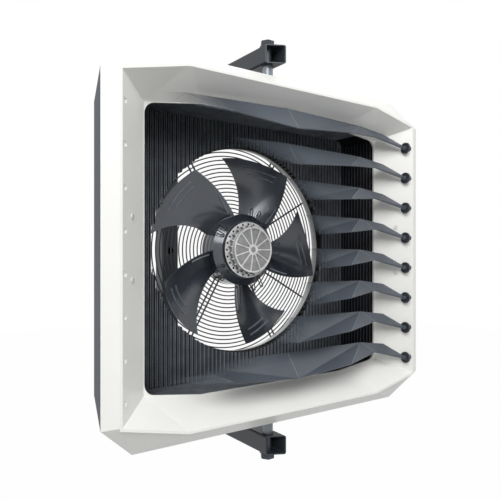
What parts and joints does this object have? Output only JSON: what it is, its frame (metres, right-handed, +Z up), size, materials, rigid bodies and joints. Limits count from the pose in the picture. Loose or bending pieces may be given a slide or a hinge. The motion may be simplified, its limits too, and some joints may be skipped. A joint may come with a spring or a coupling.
{
  "type": "destratification fan",
  "caption": "Ceiling air destratifier: an axial fan with a wire guard in a faceted casing, blowing through tilting louvres in a white bezel, on a swivelling wall console.",
  "frame": {"origin": "on the wall face of the console beam, at the middle of its line of wall holes", "axes": "+Z up, -Y the way the air is blown (front), +X to the right as seen from the front"},
  "size_m": [0.7, 0.5398, 0.79],
  "materials": {
    "white_plastic": "white moulded plastic, satin",
    "dark_casing": "anthracite moulded plastic, fine grain",
    "black_deck": "black moulded plastic",
    "grey_ring": "grey moulded plastic",
    "louvre_aluminium": "anthracite powder coat on aluminium, satin",
    "dark_plastic": "anthracite plastic",
    "blade_paint": "dark grey paint on sheet steel, semi-gloss",
    "cast_aluminium": "die-cast, as cast",
    "bare_steel": "turned",
    "copper_winding": "enamelled copper wire, varnished",
    "black_cast": "black paint on a casting",
    "black_wire": "black coat on steel wire",
    "anthracite_metal": "anthracite powder coat on steel tube, satin",
    "zinc_steel": "zinc plated",
    "grey_plastic": "grey moulded plastic"
  },
  "bodies": {
    "console": {"console_beam": "anthracite_metal", "console_arm_top": "anthracite_metal", "console_arm_bottom": "anthracite_metal", "swivel_bolts": "zinc_steel", "swivel_washers": "zinc_steel", "swivel_spacers": "zinc_steel"},
    "unit": {"bearing_front": "bare_steel", "bearing_rear": "bare_steel", "bezel_screws": "white_plastic", "cable_gland": "grey_plastic", "duct_liner": "black_deck", "fan_deck": "black_deck", "fan_ring": "grey_ring", "front_bezel": "white_plastic", "guard_feet": "black_wire", "guard_rings": "black_wire", "guard_screws": "zinc_steel", "guard_spokes": "black_wire", "lid_screws": "zinc_steel", "motor_flange": "black_cast", "motor_stator": "bare_steel", "motor_winding": "copper_winding", "pivot_bushes_left": "white_plastic", "pivot_bushes_right": "dark_plastic", "rear_shell": "dark_casing", "swivel_blocks": "zinc_steel", "terminal_box": "grey_plastic", "terminal_lid": "grey_plastic"},
    "fan": {"fan_hub": "blade_paint", "fan_blade_1": "blade_paint", "fan_blade_2": "blade_paint", "fan_blade_3": "blade_paint", "fan_blade_4": "blade_paint", "fan_blade_5": "blade_paint", "vent_ring": "cast_aluminium", "rotor_cap": "cast_aluminium", "rotor_can": "bare_steel", "motor_shaft": "bare_steel", "balance_clips": "bare_steel"},
    "louvre_1": {"louvre_1": "louvre_aluminium"},
    "louvre_2": {"louvre_2": "louvre_aluminium"},
    "louvre_3": {"louvre_3": "louvre_aluminium"},
    "louvre_4": {"louvre_4": "louvre_aluminium"},
    "louvre_5": {"louvre_5": "louvre_aluminium"},
    "louvre_6": {"louvre_6": "louvre_aluminium"},
    "louvre_7": {"louvre_7": "louvre_aluminium"},
    "louvre_8": {"louvre_8": "louvre_aluminium"}
  },
  "joints": [
    {"name": "swivel", "type": "hinge", "parent": "console", "child": "unit", "pos_m": [0, -0.447, 0], "axis": [0, 0, 1], "range_deg": [-45, 45]},
    {"name": "fan_spin", "type": "hinge", "parent": "unit", "child": "fan", "pos_m": [0, -0.36, 0], "axis": [0, -1, 0], "continuous": true},
    {"name": "louvre_1_tilt", "type": "hinge", "parent": "unit", "child": "louvre_1", "pos_m": [0, -0.524, 0.215], "axis": [1, 0, 0], "range_deg": [-52, 36]},
    {"name": "louvre_2_tilt", "type": "hinge", "parent": "unit", "child": "louvre_2", "pos_m": [0, -0.524, 0.1519], "axis": [1, 0, 0], "range_deg": [-52, 36]},
    {"name": "louvre_3_tilt", "type": "hinge", "parent": "unit", "child": "louvre_3", "pos_m": [0, -0.524, 0.0888], "axis": [1, 0, 0], "range_deg": [-52, 36]},
    {"name": "louvre_4_tilt", "type": "hinge", "parent": "unit", "child": "louvre_4", "pos_m": [0, -0.524, 0.0257], "axis": [1, 0, 0], "range_deg": [-52, 36]},
    {"name": "louvre_5_tilt", "type": "hinge", "parent": "unit", "child": "louvre_5", "pos_m": [0, -0.524, -0.0374], "axis": [1, 0, 0], "range_deg": [-52, 36]},
    {"name": "louvre_6_tilt", "type": "hinge", "parent": "unit", "child": "louvre_6", "pos_m": [0, -0.524, -0.1005], "axis": [1, 0, 0], "range_deg": [-52, 36]},
    {"name": "louvre_7_tilt", "type": "hinge", "parent": "unit", "child": "louvre_7", "pos_m": [0, -0.524, -0.1636], "axis": [1, 0, 0], "range_deg": [-52, 36]},
    {"name": "louvre_8_tilt", "type": "hinge", "parent": "unit", "child": "louvre_8", "pos_m": [0, -0.524, -0.2267], "axis": [1, 0, 0], "range_deg": [-52, 36]}
  ]
}
